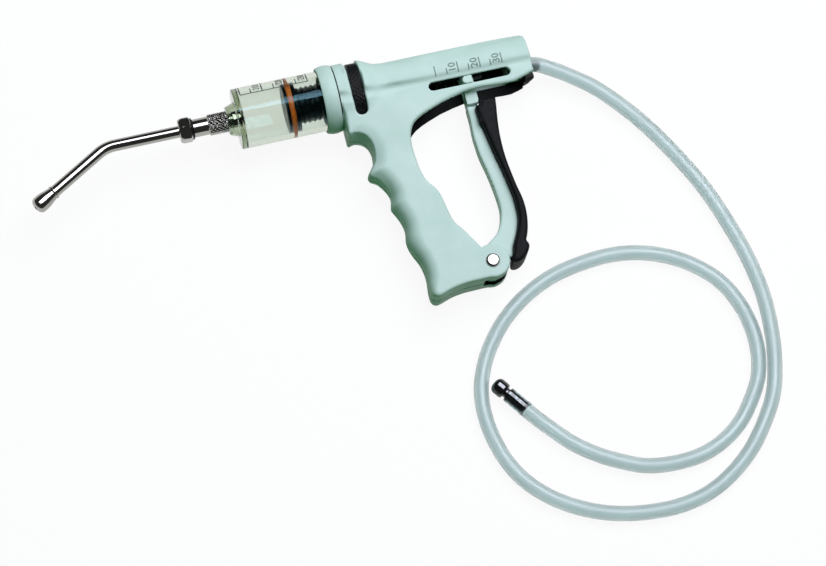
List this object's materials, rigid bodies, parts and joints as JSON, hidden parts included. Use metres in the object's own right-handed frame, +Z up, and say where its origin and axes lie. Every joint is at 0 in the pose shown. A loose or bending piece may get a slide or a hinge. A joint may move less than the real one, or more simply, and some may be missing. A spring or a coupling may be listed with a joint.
{
  "type": "livestock drencher",
  "caption": "Pistol-grip livestock drencher lying on its side: clear dosing barrel, dose wheel, squeeze lever, bent metal nozzle and a clear feed hose in a loop.",
  "frame": {"origin": "point on the floor under the middle of the gun, measured without its hose and connector", "axes": "+X rearward along the barrel, +Y from the grip towards the barrel, +Z up out of the floor, towards the gun's near side"},
  "size_m": [0.4131, 0.3117, 0.0425],
  "materials": {
    "sea_green_plastic": "satin moulded",
    "black_plastic": "satin",
    "clear_barrel": "clear, polished",
    "clear_hose": "clear, flexible",
    "black_rubber": "matt",
    "orange_rubber": "satin",
    "chrome": "polished",
    "steel": "ground",
    "brass": "turned"
  },
  "bodies": {
    "body": {"near_shell": "sea_green_plastic", "far_shell": "sea_green_plastic", "shell_screws": "steel", "barrel_collar": "sea_green_plastic", "barrel": "clear_barrel", "barrel_seal": "black_rubber", "outlet_valve_body": "chrome", "outlet_valve_spring": "steel", "nozzle_washer": "black_rubber", "nozzle_nut": "chrome", "nozzle_tube": "chrome", "nozzle_tip": "chrome", "rod_bush": "black_plastic", "return_spring": "steel", "sleeve_key": "steel", "pivot_pin": "chrome", "pivot_ring": "steel", "channel_liner": "black_plastic", "inlet_elbow": "sea_green_plastic", "hose": "clear_hose", "hose_connector": "chrome"},
    "plunger": {"piston_rod": "steel", "piston": "black_plastic", "piston_seal": "orange_rubber", "inlet_valve_spring": "steel", "valve_retainer": "black_plastic", "rod_gland": "black_plastic", "rod_seal": "black_rubber", "crosshead": "sea_green_plastic", "cross_pin": "steel"},
    "inlet_disc": {"inlet_valve_disc": "orange_rubber"},
    "outlet_ball": {"outlet_valve_ball": "steel"},
    "wheel": {"dose_wheel": "black_plastic"},
    "stop_sleeve": {"dose_sleeve": "black_plastic"},
    "hand_lever": {"lever": "sea_green_plastic", "lever_bush": "brass", "palm_pad": "black_rubber"}
  },
  "joints": [
    {"name": "lever_pivot", "type": "hinge", "parent": "body", "child": "hand_lever", "pos_m": [0.09712, -0.06422, 0.01433], "axis": [0.0602, -0.0184, 0.998], "range_deg": [0, 11.37], "stiffness_Nm_per_rad": 2, "springref_deg": -5.73},
    {"name": "rod_slide", "type": "slide", "parent": "body", "child": "plunger", "axis": [-0.9982, 0, 0.0602], "range_m": [0, 0.02053], "deforming": ["return_spring"]},
    {"name": "wheel_turn", "type": "hinge", "parent": "body", "child": "wheel", "pos_m": [0.04385, 0.05775, 0.01978], "axis": [0.9982, 0, -0.0602], "range_deg": [0, 2460]},
    {"name": "sleeve_slide", "type": "slide", "parent": "body", "child": "stop_sleeve", "axis": [0.9982, 0, -0.0602], "range_m": [0, 0.0205]},
    {"name": "outlet_ball_lift", "type": "slide", "parent": "body", "child": "outlet_ball", "axis": [-0.9982, 0, 0.0602], "range_m": [0, 0.002], "stiffness_N_per_m": 50, "springref_m": -0.004, "deforming": ["outlet_valve_spring"]},
    {"name": "inlet_disc_lift", "type": "slide", "parent": "plunger", "child": "inlet_disc", "axis": [-0.9982, 0, 0.0602], "range_m": [0, 0.0012], "stiffness_N_per_m": 20, "springref_m": -0.003, "deforming": ["inlet_valve_spring"]}
  ],
  "couplings": [
    {"joint": "rod_slide", "follows": "lever_pivot", "m_per_rad": 0.10343},
    {"joint": "wheel_turn", "follows": "sleeve_slide", "rad_per_m": 2094.4}
  ]
}
